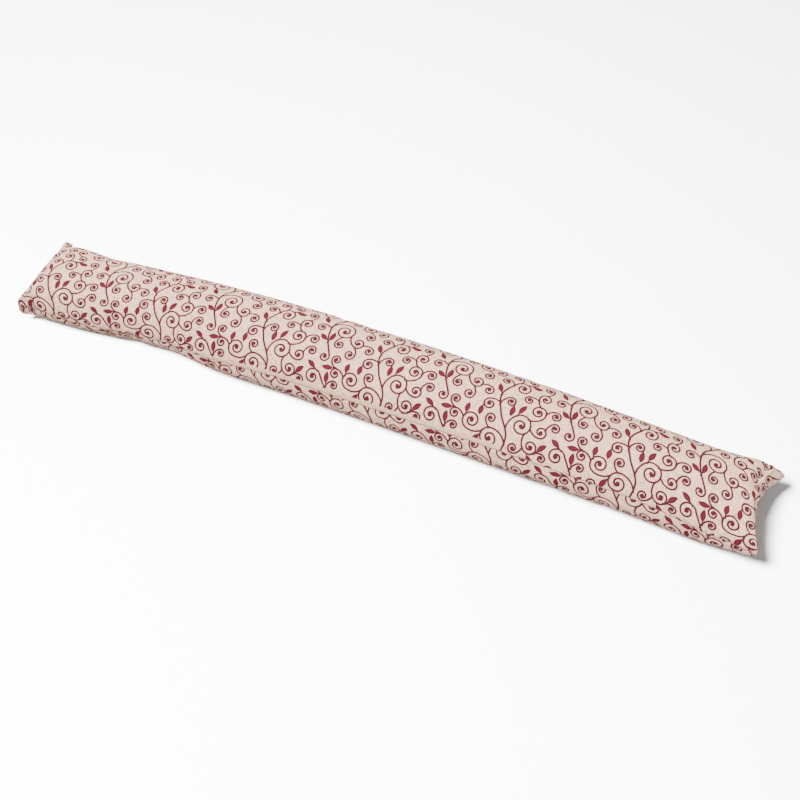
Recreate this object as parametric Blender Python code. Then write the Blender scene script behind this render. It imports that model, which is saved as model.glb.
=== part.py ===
"""Draught excluder: a filled cloth tube that lies along the foot of a door.

One rectangle of cloth is folded lengthwise, sewn along the front and across both ends, and
filled, so it is one soft solid. Units are metres, +Z is up, +X runs along the tube, the long
seam is on the -Y side, and the origin is on the floor below the middle.
"""

import math

import bpy
import numpy as np

# Driving sizes
LENGTH = 0.900              # from end corner to end corner
SEWN_WIDTH = 0.150          # flat width of the sewn tube before it is filled
HEM_THICKNESS = 0.0036      # two layers and their turned allowance at an end seam
END_SEAM_HEIGHT = 0.0400    # the end seams float above the floor
END_REACH = 0.080           # length over which a sewn end swells to the full section
END_BLUNTNESS = 2.25        # 2 swells as an ellipse does, more is blunter
FLOOR_SINK = 0.0026         # how far the rounded underside is pressed flat on the floor

# The lying tube, one row for each section: where it is, its width and height, and how far
# its middle lies off a straight line, as the filling has shifted in use
SECTION_COLUMNS = ("along", "width", "height", "sideways")
SECTIONS = (
    (-0.450, 0.1090, 0.0650, 0.0020),
    (-0.370, 0.1095, 0.0665, 0.0045),
    (-0.310, 0.1080, 0.0680, 0.0090),
    (-0.255, 0.1085, 0.0695, 0.0120),
    (-0.195, 0.1165, 0.0715, 0.0098),
    (-0.100, 0.1185, 0.0730, 0.0102),
    (0.000, 0.1190, 0.0740, 0.0096),
    (0.120, 0.1195, 0.0735, 0.0078),
    (0.240, 0.1180, 0.0720, 0.0053),
    (0.360, 0.1145, 0.0690, 0.0020),
    (0.450, 0.1130, 0.0660, -0.0010),
)

# The sewn ends: corner to corner, how far the seam's middle is drawn in, how far the front
# and the back are pinched behind the corners, how much the front corner lags behind the back
# one, and the middle of the seam off the straight line
END_COLUMNS = ("side", "spread", "drawn_in", "front_pinch", "back_pinch", "lag", "sideways")
ENDS = (
    (-1.0, 0.1130, 0.0035, 0.0015, 0.0040, 0.0050, 0.0025),
    (1.0, 0.1190, 0.0120, -0.0015, 0.0035, 0.0020, -0.0005),
)
PINCH_AT = 0.016            # from the end seam to the pinch behind each corner
PINCH_WIDTH = 0.011

# Where the long seam runs, as the angle up the front of the section
SEAM_COLUMNS = ("along", "degrees")
SEAM = (
    (-0.450, 0.0),
    (-0.380, -6.0),
    (-0.260, 2.0),
    (-0.130, 17.0),
    (0.000, 20.0),
    (0.240, 24.0),
    (0.335, 21.0),
    (0.410, 6.0),
    (0.450, 0.0),
)
SEAM_DEPTH = 0.0016         # the seam's allowance draws the cloth in along a shallow channel
SEAM_SPREAD = 0.0055

# Gathers along the end seams and the creases that the corners pull
GATHER_COUNT = 5
GATHER_DEPTH = 0.0012
GATHER_REACH = 0.026
CREASE_COLUMNS = ("side", "degrees", "spread_degrees", "from_end", "width", "depth")
CREASES = (
    (1.0, 128.0, 34.0, 0.019, 0.0060, 0.0030),
    (1.0, 40.0, 20.0, 0.024, 0.0070, 0.0016),
    (-1.0, 22.0, 22.0, 0.013, 0.0050, 0.0030),
    (-1.0, 140.0, 26.0, 0.022, 0.0070, 0.0018),
)

# How finely the solid is cut
COLUMNS = 56
END_STEPS = (0.0, 0.002, 0.005, 0.009, 0.013, 0.017, 0.021, 0.026, 0.032, 0.039, 0.047, 0.057, 0.068)
BODY_STEP = 0.027

CLOTH_COLOUR = (0.600, 0.470, 0.400, 1.0)
CLOTH_ROUGHNESS = 0.90


def read_column(rows, columns, name):
    """Give one named column of a table as an array."""
    return np.array([row[columns.index(name)] for row in rows])


def smooth_table(along, rows, columns, name):
    """Read a table at the places given, on a curve that eases from row to row."""
    places = read_column(rows, columns, "along")
    values = read_column(rows, columns, name)
    slopes = np.gradient(values, places)
    index = np.clip(np.searchsorted(places, along, side="right") - 1, 0, len(places) - 2)
    gap = places[index + 1] - places[index]
    s = np.clip((along - places[index]) / gap, 0.0, 1.0)
    start, end = values[index], values[index + 1]
    rise_start, rise_end = slopes[index] * gap, slopes[index + 1] * gap
    return (
        (2 * s**3 - 3 * s**2 + 1) * start
        + (s**3 - 2 * s**2 + s) * rise_start
        + (3 * s**2 - 2 * s**3) * end
        + (s**3 - s**2) * rise_end
    )


def bump(distance, width):
    """A smooth hump of height one and the width given."""
    return np.exp(-((distance / width) ** 2))


def station_places():
    """Places of the cross sections along the tube, close together at the sewn ends."""
    half = LENGTH / 2
    near = np.array(END_STEPS)
    inner = half - near[-1]
    count = int(round(2 * inner / BODY_STEP))
    body = np.linspace(-inner, inner, count + 1)[1:-1]
    return np.concatenate((near - half, body, half - near[::-1]))


def end_values(places, name):
    """Give each section the value that belongs to its own end of the tube."""
    left, right = read_column(ENDS, END_COLUMNS, name)
    return np.where(places < 0, left, right)


def tube_points():
    """Work out the skin as rows of points, one row for each section.

    A section is an ellipse in the body. Towards an end it flattens to the straight line of
    the end seam, whose corners stay out while its middle is drawn in. The rows are centred
    across, so the origin lies below the middle of the outline.
    """
    places = station_places()[:, None]
    from_end = LENGTH / 2 - np.abs(places)
    side = np.sign(places)
    turn = 2 * math.pi * np.arange(COLUMNS)[None, :] / COLUMNS

    # How far a section has swollen from the flat seam to the full body
    near = np.clip(1 - from_end / END_REACH, 0, 1)
    swell = (1 - near**END_BLUNTNESS) ** (1 / END_BLUNTNESS)
    ease = (1 - near) ** 2 * (1 + 2 * near)

    # Columns follow the cloth, so the first column is the long seam
    seam_turn = np.radians(smooth_table(places, SEAM, SEAM_COLUMNS, "degrees"))
    angle = turn + seam_turn * (1 - np.abs(np.sin(turn / 2)))

    half_width = smooth_table(places, SECTIONS, SECTION_COLUMNS, "width") / 2
    half_height = smooth_table(places, SECTIONS, SECTION_COLUMNS, "height") / 2 + FLOOR_SINK / 2
    spread = end_values(places, "spread") / 2
    across = spread + (half_width - spread) * ease
    upright = HEM_THICKNESS / 2 + (half_height - HEM_THICKNESS / 2) * swell

    # Behind its corners the cloth is pinched, more at the back than at the front
    front_pinch, back_pinch = end_values(places, "front_pinch"), end_values(places, "back_pinch")
    pinch = np.where(np.cos(angle) > 0, front_pinch, back_pinch)
    pinch = pinch * bump(from_end - PINCH_AT, PINCH_WIDTH) * (1 - bump(from_end, PINCH_WIDTH / 2))

    # A flat seam spaces the columns evenly, an ellipse by its angle
    flat_side = 2 * np.abs((angle / math.pi) % 2 - 1) - 1
    round_side = np.cos(angle)
    offset = flat_side * (1 - swell) + round_side * swell
    lift = np.sin(angle)
    thickness = np.sign(lift) * np.abs(lift) ** (0.55 + 0.45 * swell)

    # Gathers, creases and the channel of the long seam draw the skin in
    inset = SEAM_DEPTH * bump(SEWN_WIDTH * (1 - np.abs(1 - turn / math.pi)), SEAM_SPREAD) * swell
    gathers = np.cos(GATHER_COUNT * math.pi * offset + side)
    inset = inset + GATHER_DEPTH * (1 - gathers) * bump(from_end, GATHER_REACH) * swell
    for crease_side, degrees, spread_degrees, distance, width, depth in CREASES:
        aside = (np.degrees(angle) - degrees + 180) % 360 - 180
        strength = bump(aside, spread_degrees) * bump(from_end - distance, width)
        inset = inset + np.where(side == crease_side, depth * strength, 0)

    middle = END_SEAM_HEIGHT + (half_height - FLOOR_SINK - END_SEAM_HEIGHT) * ease
    sideways = smooth_table(places, SECTIONS, SECTION_COLUMNS, "sideways")
    sideways = sideways + (end_values(places, "sideways") - sideways) * (1 - ease)
    drawn = end_values(places, "drawn_in") * (1 - offset**2) * near**2
    lag = end_values(places, "lag") * (1 + offset) / 2 * near

    x = places - side * (drawn + lag)
    y = sideways - offset * (across - pinch) + inset * round_side
    z = middle + thickness * upright - inset * lift * swell
    y -= (y.min() + y.max()) / 2
    return np.stack((x, y, np.maximum(z, 0.0)), axis=-1)


def tube_faces(row_count):
    """Join the rows into a skin and close both ends across the seam."""
    faces = []
    for row in range(row_count - 1):
        start, following = row * COLUMNS, (row + 1) * COLUMNS
        for column in range(COLUMNS):
            beside = (column + 1) % COLUMNS
            faces.append((start + column, following + column, following + beside, start + beside))
    last = (row_count - 1) * COLUMNS
    for column in range(COLUMNS // 2):
        opposite, beyond = (COLUMNS - column) % COLUMNS, COLUMNS - column - 1
        near_end = tuple(dict.fromkeys((column, column + 1, beyond, opposite)))
        faces.append(near_end)
        faces.append(tuple(last + point for point in reversed(near_end)))
    return faces


def cloth_material():
    """Plain matt cloth in the colour that the printed linen has from afar."""
    material = bpy.data.materials.new("printed_linen")
    material.use_nodes = True
    shader = material.node_tree.nodes["Principled BSDF"]
    shader.inputs["Base Color"].default_value = CLOTH_COLOUR
    shader.inputs["Roughness"].default_value = CLOTH_ROUGHNESS
    shader.inputs["Metallic"].default_value = 0.0
    material.diffuse_color = CLOTH_COLOUR
    return material


def build_cover(collection):
    """Make the filled cover, the only piece that a maker sews."""
    points = tube_points()
    mesh = bpy.data.meshes.new("filled_cover")
    mesh.from_pydata(points.reshape(-1, 3).tolist(), [], tube_faces(len(points)))
    mesh.validate()
    mesh.shade_smooth()
    cover = bpy.data.objects.new("filled_cover", mesh)
    cover.data.materials.append(cloth_material())
    collection.objects.link(cover)
    return cover


def main():
    """Clear the scene and build the draught excluder."""
    for thing in list(bpy.data.objects):
        bpy.data.objects.remove(thing, do_unlink=True)
    collection = bpy.data.collections.new("draught_excluder")
    bpy.context.scene.collection.children.link(collection)
    build_cover(collection)


main()
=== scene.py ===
"""Draught excluder in printed linen, lying on a pale floor.

One rectangle of linen is folded lengthwise, sewn along the front and across both ends, and
filled. The tube repeats the form of the solid it replaces, on a finer grid of the cloth's own
warp and weft. A cloth simulation lets the filling press the linen out, which leaves the puckers
at the sewn ends. The print is a scroll vine, charted below and drawn by the material.
Units are metres, but the cloth's own coordinates and the print are in millimetres.
"""

import logging
import math
from dataclasses import dataclass, field
from enum import Enum

import bpy
import numpy as np
from mathutils import Matrix, Vector


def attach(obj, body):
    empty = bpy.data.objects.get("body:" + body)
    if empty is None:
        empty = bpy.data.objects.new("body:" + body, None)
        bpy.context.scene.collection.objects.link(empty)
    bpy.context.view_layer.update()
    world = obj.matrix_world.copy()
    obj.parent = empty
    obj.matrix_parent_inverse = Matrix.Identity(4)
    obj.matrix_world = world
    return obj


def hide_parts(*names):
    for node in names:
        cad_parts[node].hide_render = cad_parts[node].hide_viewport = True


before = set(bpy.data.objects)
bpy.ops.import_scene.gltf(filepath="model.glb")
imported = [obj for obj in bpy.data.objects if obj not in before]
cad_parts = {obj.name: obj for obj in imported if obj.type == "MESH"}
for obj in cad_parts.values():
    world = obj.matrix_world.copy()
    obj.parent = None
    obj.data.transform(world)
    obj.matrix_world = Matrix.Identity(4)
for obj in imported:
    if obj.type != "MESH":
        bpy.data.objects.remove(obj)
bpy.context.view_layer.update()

log = logging.getLogger("draught_excluder")

MM = 1000.0
GIRTH = 0.304


class End(Enum):
    """The two sewn ends of the tube, with the sign of their place along it."""

    LEFT = -1.0
    RIGHT = 1.0


def hump(distance: np.ndarray, width: float) -> np.ndarray:
    """A smooth hump, exp(-(distance / width) squared)."""
    return np.exp(-((distance / width) ** 2))


def eased(rows: tuple, columns: tuple, name: str, along: np.ndarray) -> np.ndarray:
    """Read a table on a curve that eases from row to row.

    The curve is a cubic Hermite whose slopes are the table's own differences.

    Args:
        rows: the table, whose first named column is the place along the tube.
        columns: the table's column names, "along" among them.
        name: the column to read.
        along: the places to read it at.

    Returns:
        The values, in the shape of along.
    """
    table = np.array(rows)
    places = table[:, columns.index("along")]
    values = table[:, columns.index(name)]
    slopes = np.gradient(values, places)
    index = np.clip(np.searchsorted(places, along, side="right") - 1, 0, len(places) - 2)
    gap = places[index + 1] - places[index]
    s = np.clip((along - places[index]) / gap, 0.0, 1.0)
    start, end = values[index], values[index + 1]
    rise, fall = slopes[index] * gap, slopes[index + 1] * gap
    first = (2 * s**3 - 3 * s**2 + 1) * start + (s**3 - 2 * s**2 + s) * rise
    return first + (3 * s**2 - 2 * s**3) * end + (s**3 - s**2) * fall


@dataclass
class TubeForm:
    """The lying form of the filled tube, as in the solid that it replaces."""

    length: float = 0.900
    sewn_width: float = 0.150
    hem: float = 0.0036
    end_seam_height: float = 0.0400
    end_reach: float = 0.080
    bluntness: float = 2.25
    floor_sink: float = 0.0026
    section_columns: tuple = ("along", "width", "height", "sideways")
    sections: tuple = (
        (-0.450, 0.1090, 0.0650, 0.0020),
        (-0.370, 0.1095, 0.0665, 0.0045),
        (-0.310, 0.1080, 0.0680, 0.0090),
        (-0.255, 0.1085, 0.0695, 0.0120),
        (-0.195, 0.1165, 0.0715, 0.0098),
        (-0.100, 0.1185, 0.0730, 0.0102),
        (0.000, 0.1190, 0.0740, 0.0096),
        (0.120, 0.1195, 0.0735, 0.0078),
        (0.240, 0.1180, 0.0720, 0.0053),
        (0.360, 0.1145, 0.0690, 0.0020),
        (0.450, 0.1130, 0.0660, -0.0010),
    )
    end_columns: tuple = ("side", "spread", "drawn_in", "front_pinch", "back_pinch", "lag", "sideways")
    ends: tuple = (
        (-1.0, 0.1130, 0.0035, 0.0015, 0.0040, 0.0050, 0.0025),
        (1.0, 0.1190, 0.0120, -0.0015, 0.0035, 0.0020, -0.0005),
    )
    pinch_at: float = 0.016
    pinch_width: float = 0.011
    seam_columns: tuple = ("along", "degrees")
    seam: tuple = (
        (-0.450, 0.0), (-0.380, -6.0), (-0.260, 2.0), (-0.130, 17.0), (0.000, 20.0),
        (0.240, 24.0), (0.335, 21.0), (0.410, 6.0), (0.450, 0.0),
    )
    seam_depth: float = 0.0016
    seam_spread: float = 0.0055
    gather_count: int = 5
    gather_depth: float = 0.0012
    gather_reach: float = 0.026
    creases: tuple = (
        (1.0, 128.0, 34.0, 0.019, 0.0060, 0.0030),
        (1.0, 40.0, 20.0, 0.024, 0.0070, 0.0016),
        (-1.0, 22.0, 22.0, 0.013, 0.0050, 0.0030),
        (-1.0, 140.0, 26.0, 0.022, 0.0070, 0.0018),
    )

    def of_end(self, places: np.ndarray, name: str) -> np.ndarray:
        """Give each section the value that belongs to its own end."""
        left, right = (row[self.end_columns.index(name)] for row in self.ends)
        return np.where(places < 0, left, right)

    def surface(self, along: np.ndarray, turns: np.ndarray) -> np.ndarray:
        """Work out the skin on a grid of places along the tube and turns round it.

        A section is an ellipse in the body, x = along, y = -cos(angle) * half width and
        z = middle + sin(angle) * half height. Towards an end it flattens to the straight end
        seam as near = 1 - distance / reach grows, swell = (1 - near**b)**(1/b). The middle of
        the end seam is drawn in, the cloth is pinched behind its corners, and gathers, creases
        and the channel of the long seam are humps taken off along the section's radius.

        Args:
            along: places along the tube, in metres from its middle.
            turns: turns round it in radians, from the long seam up over the top.

        Returns:
            Points, as an array of sections by columns by 3.
        """
        x = along[:, None]
        turn = turns[None, :]
        from_end = self.length / 2 - np.abs(x)
        side = np.sign(x)
        near = np.clip(1 - from_end / self.end_reach, 0, 1)
        swell = (1 - near**self.bluntness) ** (1 / self.bluntness)
        ease = (1 - near) ** 2 * (1 + 2 * near)
        seam_turn = np.radians(eased(self.seam, self.seam_columns, "degrees", x))
        angle = turn + seam_turn * (1 - np.abs(np.sin(turn / 2)))

        half_width = eased(self.sections, self.section_columns, "width", x) / 2
        height = eased(self.sections, self.section_columns, "height", x)
        half_height = (height + self.floor_sink) / 2
        spread = self.of_end(x, "spread") / 2
        across = spread + (half_width - spread) * ease
        upright = self.hem / 2 + (half_height - self.hem / 2) * swell

        pinch = np.where(np.cos(angle) > 0, self.of_end(x, "front_pinch"), self.of_end(x, "back_pinch"))
        pinch = pinch * hump(from_end - self.pinch_at, self.pinch_width)
        pinch = pinch * (1 - hump(from_end, self.pinch_width / 2))
        flat_side = 2 * np.abs((angle / math.pi) % 2 - 1) - 1
        offset = flat_side * (1 - swell) + np.cos(angle) * swell
        lift = np.sin(angle)
        thickness = np.sign(lift) * np.abs(lift) ** (0.55 + 0.45 * swell)

        from_seam = self.sewn_width * (1 - np.abs(1 - turn / math.pi))
        inset = self.seam_depth * hump(from_seam, self.seam_spread) * swell
        gathers = 1 - np.cos(self.gather_count * math.pi * offset + side)
        inset = inset + self.gather_depth * gathers * hump(from_end, self.gather_reach) * swell
        for crease_side, degrees, spread_degrees, distance, width, depth in self.creases:
            aside = (np.degrees(angle) - degrees + 180) % 360 - 180
            strength = hump(aside, spread_degrees) * hump(from_end - distance, width)
            inset = inset + np.where(side == crease_side, depth * strength, 0)

        middle = self.end_seam_height
        middle = middle + (half_height - self.floor_sink - self.end_seam_height) * ease
        sideways = eased(self.sections, self.section_columns, "sideways", x)
        sideways = sideways + (self.of_end(x, "sideways") - sideways) * (1 - ease)
        drawn = self.of_end(x, "drawn_in") * (1 - offset**2) * near**2
        lag = self.of_end(x, "lag") * (1 + offset) / 2 * near

        px = x - side * (drawn + lag)
        py = sideways - offset * (across - pinch) + inset * np.cos(angle)
        pz = middle + thickness * upright - inset * lift * swell
        return np.stack((px, py, pz), axis=-1)

    def centred(self, points: np.ndarray) -> np.ndarray:
        """Set the outline's middle over the origin, and flatten what would lie below the floor."""
        moved = points.copy()
        moved[..., 1] -= (points[..., 1].min() + points[..., 1].max()) / 2
        moved[..., 2] = np.maximum(moved[..., 2], 0.0)
        return moved


@dataclass
class ClothGrid:
    """The linen's own grid on the lying form: warp along the tube, weft round it."""

    form: TubeForm
    girth: float = GIRTH
    dense_sections: int = 1500
    dense_turns: int = 720
    rough_turns: int = 24

    def places(self, rows: int) -> np.ndarray:
        """Places of the weft rows, equally far apart over the surface.

        The distance between two sections is the mean over their points, so rows crowd where
        the cloth climbs from the flat end seam.
        """
        half = self.form.length / 2
        fine = half * np.sin(np.linspace(-math.pi / 2, math.pi / 2, self.dense_sections))
        run = np.concatenate(([0.0], np.cumsum(self.gaps(fine))))
        return np.interp(np.linspace(0, run[-1], rows + 1), run, fine)

    def surface_length(self) -> float:
        """The cover's length measured over its surface, as a mean round the section."""
        return float(self.gaps(self.places(self.dense_sections)).sum())

    def gaps(self, places: np.ndarray) -> np.ndarray:
        """The distance from each section to the next over the surface, as a mean round it."""
        turns = np.linspace(0, 2 * math.pi, self.rough_turns, endpoint=False)
        points = self.form.centred(self.form.surface(places, turns))
        return np.linalg.norm(np.diff(points, axis=0), axis=-1).mean(axis=1)

    def points(self, rows: int, columns: int) -> np.ndarray:
        """The form on the cloth's grid, with its columns equally far apart round each section.

        Each section is worked out finely, its length round is summed, and the columns are read
        from it at equal lengths from the long seam.
        """
        turns = np.linspace(0, 2 * math.pi, self.dense_turns + 1)
        fine = self.form.centred(self.form.surface(self.places(rows), turns))
        gaps = np.linalg.norm(np.diff(fine, axis=1), axis=-1)
        run = np.concatenate((np.zeros((rows + 1, 1)), np.cumsum(gaps, axis=1)), axis=1)
        share = run / run[:, -1:]
        wanted = np.arange(columns) / columns
        index = np.stack([np.searchsorted(row, wanted, side="right") for row in share]) - 1
        index = np.clip(index, 0, self.dense_turns - 1)
        low = np.take_along_axis(share, index, axis=1)
        high = np.take_along_axis(share, index + 1, axis=1)
        part = ((wanted[None, :] - low) / np.maximum(high - low, 1e-12))[..., None]
        start = np.take_along_axis(fine, index[..., None], axis=1)
        end = np.take_along_axis(fine, index[..., None] + 1, axis=1)
        return start * (1 - part) + end * part


def tube_faces(rows: int, columns: int) -> np.ndarray:
    """Join a grid of rows into a skin, and close both ends across their seam.

    Args:
        rows: number of steps along the tube, one less than the rows of points.
        columns: number of points round it, an even number.

    Returns:
        Corner numbers, as an array of faces by 4. The end caps come last.
    """
    row, column = np.meshgrid(np.arange(rows), np.arange(columns), indexing="ij")
    beside = (column + 1) % columns
    skin = np.stack(
        (row * columns + column, (row + 1) * columns + column,
         (row + 1) * columns + beside, row * columns + beside), axis=-1,
    ).reshape(-1, 4)
    half = np.arange(columns // 2)
    cap = np.stack((half, half + 1, columns - half - 1, (columns - half) % columns), axis=-1)
    return np.concatenate((skin, cap, rows * columns + cap[:, ::-1]))


def mesh_of(name: str, points: np.ndarray, faces: np.ndarray) -> bpy.types.Mesh:
    """Put arrays of points and four-cornered faces into a mesh.

    A cap's last face may name a corner twice. It then becomes a triangle.
    """
    mesh = bpy.data.meshes.new(name)
    listed = [tuple(dict.fromkeys(face)) for face in faces.tolist()]
    mesh.from_pydata(points.reshape(-1, 3).tolist(), [], listed)
    mesh.update()
    return mesh


@dataclass(frozen=True)
class Stroke:
    """One line of the print: points along it, half its width at each, and where arms may spring."""

    place: np.ndarray
    half: np.ndarray
    first: int
    last: int


@dataclass
class ScrollVine:
    """The print's repeat: charted stems, and scrolls and leaves that grow off them.

    Everything is in millimetres on a tile that repeats both ways. A growing step looks for
    the widest bare place left on the tile, sets a scroll there as large as its row in sizes
    and the room allow, and joins it to the vine by the smoothest arm that stays clear.
    """

    tile: tuple = (130.0, 123.0)
    step: float = 0.3
    line: float = 0.92
    gap: float = 3.3
    clearance: float = 2.0
    stem_points: tuple = (
        ((24, 8), (35, 24), (38, 44), (27, 64), (21, 84), (31, 103)),
        ((101, 66), (91, 86), (90, 106), (102, 124), (109, 146), (98, 167)),
    )
    stem_scrolls: tuple = ((5.4, 1, 8.6, -1), (5.4, -1, 8.6, 1))
    sizes: tuple = (
        11.4, 11.0, 10.6, 10.0, 9.2, 8.4, 7.8, 7.4, 7.0, 6.7,
        6.4, 6.2, 6.0, 5.8, 5.6, 5.5, 5.4, 5.3, 5.2, 5.1,
    )
    small_size: float = 4.9
    smallest: float = 3.9
    scroll_count: int = 44
    scroll_tries: int = 6
    snugness: float = 2.5
    drift: float = 0.8
    turns: tuple = (0.72, 0.085)
    turns_spread: float = 0.08
    eye_reach: tuple = (0.55, 0.05)
    eye_swell: tuple = (0.24, 0.030)
    eye_dot: tuple = (1.45, 0.065)
    largest_dot: float = 9.0
    swells_from: float = 0.6
    stem_extra: float = 0.08
    top_springs: int = 40
    spring_every: int = 5
    spring_share: float = 0.35
    early_scrolls: int = 9
    early_leaves: tuple = (8, 1.5)
    late_leaves: tuple = (10, 0.8)
    leaf_length: tuple = (10.5, 13.0)
    leaf_half: float = 2.7
    stalk: float = 1.2
    stalk_half: float = 0.75
    arm_leans: tuple = (6.0, 25.0, 45.0)
    arm_reach: float = 20.0
    arm_length: tuple = (8.0, 46.0)
    arm_samples: int = 13
    arm_bow: float = 1.05
    ring_step: float = math.pi / 12
    free_run: float = 2.5
    free_slope: float = 0.45
    overlap: float = 0.3
    sweep: float = 0.08
    off_cost: float = 22.0
    length_cost: float = 0.02
    bend_limit: float = 0.30
    bend_cost: float = 4.0
    wiggle_cost: float = 1.2
    leaf_leans: tuple = (26.0, 48.0)
    leaf_tries: int = 1500
    seed: int = 12

    def __post_init__(self) -> None:
        """Start with a bare tile."""
        self.random = np.random.default_rng(self.seed)
        self.strokes: list[Stroke] = []
        self.dots: list[tuple] = []
        self.across, self.upward = (int(side) for side in self.tile)
        spots = np.meshgrid(np.arange(self.across), np.arange(self.upward), indexing="ij")
        self.spots = np.stack(spots, axis=-1).reshape(-1, 2) + 0.5
        self.room = np.full(len(self.spots), float(self.across))

    def wrapped(self, offset: np.ndarray) -> np.ndarray:
        """The shortest offset between two places on the repeating tile."""
        tile = np.array(self.tile)
        return offset - tile * np.round(offset / tile)

    def room_at(self, place: np.ndarray) -> np.ndarray:
        """How far each place is from the print so far, read from the tile's spots."""
        column = np.floor(place[..., 0]).astype(int) % self.across
        row = np.floor(place[..., 1]).astype(int) % self.upward
        return self.room[column * self.upward + row]

    def add(self, place: np.ndarray, half: np.ndarray, first: int, last: int) -> None:
        """Print a stroke, and take its room from the tile."""
        self.strokes.append(Stroke(place, half, first, last))
        for start in range(0, len(place), 120):
            some = slice(start, start + 120, 3)
            away = self.wrapped(self.spots[:, None] - place[None, some])
            depth = np.hypot(away[..., 0], away[..., 1]) - half[None, some]
            self.room = np.minimum(self.room, depth.min(axis=1))

    def spline(self, points: tuple) -> np.ndarray:
        """A Catmull-Rom curve through the points, with a sample every step."""
        inner = np.array(points, float)
        knots = np.vstack((2 * inner[0] - inner[1], inner, 2 * inner[-1] - inner[-2]))
        spans = []
        for a, b, c, d in zip(knots, knots[1:], knots[2:], knots[3:]):
            count = max(3, int(np.hypot(*(c - b)) / self.step))
            t = np.linspace(0, 1, count, endpoint=False)[:, None]
            bend = (2 * a - 5 * b + 4 * c - d) * t**2 + (3 * b - 3 * c + d - a) * t**3
            spans.append(0.5 * (2 * b + (c - a) * t + bend))
        return np.vstack((*spans, inner[-1:]))

    @staticmethod
    def by_size(rule: tuple, radius: float) -> float:
        """A measure that grows with a scroll: the rule's first value and so much for each mm."""
        return rule[0] + rule[1] * radius

    def scroll(
        self, centre: np.ndarray, radius: float, hand: float, first: float, turns: float
    ) -> tuple:
        """A scroll from its ring inwards to the eye.

        Its radius falls from the ring's to the eye's as 1.13 q*q / (q + 0.13), slowly at first
        so that it leaves the ring smoothly, and its line swells over the last part.

        Args:
            centre: the ring's middle.
            radius: the ring's radius.
            hand: 1 anticlockwise, -1 clockwise.
            first: the angle on the ring where the scroll starts, in radians.
            turns: how many turns it makes.

        Returns:
            Its points and half widths. The eye is added to the dots.
        """
        turned = 2 * math.pi * turns
        eye = self.by_size(self.eye_reach, radius)
        q = np.linspace(0, 1, int(turned * radius * 0.62 / self.step) + 12)
        reach = eye + (radius - eye) * (1 - 1.13 * q**2 / (q + 0.13))
        angle = first + hand * turned * q
        place = centre + reach[:, None] * np.stack((np.cos(angle), np.sin(angle)), axis=-1)
        late = np.clip((q - self.swells_from) / (1 - self.swells_from), 0, 1)
        half = self.line + self.by_size(self.eye_swell, radius) * late**1.4
        middle = centre + (place[-1] - centre) * 0.25
        size = self.by_size(self.eye_dot, min(radius, self.largest_dot))
        self.dots.append((*middle, size))
        outside = np.flatnonzero(np.hypot(*(place - middle).T) > size - 0.35)
        return place[: outside[-1] + 1], half[: outside[-1] + 1]

    def add_stem(self, points: tuple, foot: float, foot_hand: int, top: float, top_hand: int) -> None:
        """Print a charted stem, with a scroll at its foot and one at its top."""
        line = self.spline(points)
        pieces, halves = [line], [np.full(len(line), self.line + self.stem_extra)]
        for at_top, radius, hand in ((False, foot, foot_hand), (True, top, top_hand)):
            end, before = (line[-1], line[-2]) if at_top else (line[0], line[1])
            heading = (end - before) / np.hypot(*(end - before))
            centre = end + hand * radius * np.array((-heading[1], heading[0]))
            first = math.atan2(*(end - centre)[::-1])
            place, half = self.scroll(centre, radius, hand, first, self.turns_of(radius))
            if at_top:
                pieces.append(place[1:])
                halves.append(half[1:])
            else:
                pieces.insert(0, place[:0:-1])
                halves.insert(0, half[:0:-1])
        start = len(pieces[0])
        last = start + len(line) + self.top_springs
        self.add(np.vstack(pieces), np.concatenate(halves), start, last)

    def turns_of(self, radius: float) -> float:
        """Large scrolls make more turns than small ones."""
        spread = self.random.uniform(-self.turns_spread, self.turns_spread)
        return self.by_size(self.turns, radius) + spread

    def springs(self) -> tuple:
        """Places and headings on the vine that an arm or a leaf may spring from."""
        places, headings = [], []
        for stroke in self.strokes:
            index = np.arange(stroke.first + 3, stroke.last - 1, self.spring_every)
            heading = stroke.place[index + 1] - stroke.place[index - 1]
            places.append(stroke.place[index])
            headings.append(heading / np.linalg.norm(heading, axis=1)[:, None])
        return np.vstack(places), np.vstack(headings)

    def arm_to(self, centre: np.ndarray, radius: float) -> tuple | None:
        """The smoothest arm from the vine to a ring.

        Every arm is a cubic Hermite curve from a spring on the vine, leaning off its heading
        towards the ring, to a point on the ring along the ring. Its cost adds the square of
        its curvature, its wiggles, its sharpest bend and its length, and an arm that comes
        too near another stroke is ruled out.

        Args:
            centre: the ring's middle.
            radius: the ring's radius.

        Returns:
            The cost, the arm's points, the angle where it meets the ring and the ring's hand,
            or None where no arm fits.
        """
        places, headings = self.springs()
        towards = self.wrapped(centre - places)
        far = np.hypot(towards[:, 0], towards[:, 1])
        near = (far > radius + 0.5) & (far < radius + self.arm_reach)
        if not near.any():
            return None
        headings, towards = headings[near], towards[near]
        side = np.sign(headings[:, 0] * towards[:, 1] - headings[:, 1] * towards[:, 0])
        lean = np.radians(np.array(self.arm_leans))[None, :, None, None]
        meet = np.arange(0, 2 * math.pi, self.ring_step)
        at_ring = meet[None, None, :, None]
        hand = np.array((1.0, -1.0))[None, None, None, :]
        leaving = np.arctan2(headings[:, 1], headings[:, 0])[:, None, None, None]
        leaving = leaving + side[:, None, None, None] * lean
        start = (centre - towards)[:, None, None, None, :]
        end = centre + radius * np.stack((np.cos(at_ring), np.sin(at_ring)), axis=-1)
        span = np.linalg.norm(end - start, axis=-1, keepdims=True) * self.arm_bow
        out = span * np.stack((np.cos(leaving), np.sin(leaving)), axis=-1)
        along_ring = np.broadcast_arrays(-hand * np.sin(at_ring), hand * np.cos(at_ring))
        into = span * np.stack(along_ring, axis=-1)
        full = np.broadcast_shapes(start.shape, out.shape, end.shape, into.shape)
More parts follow.
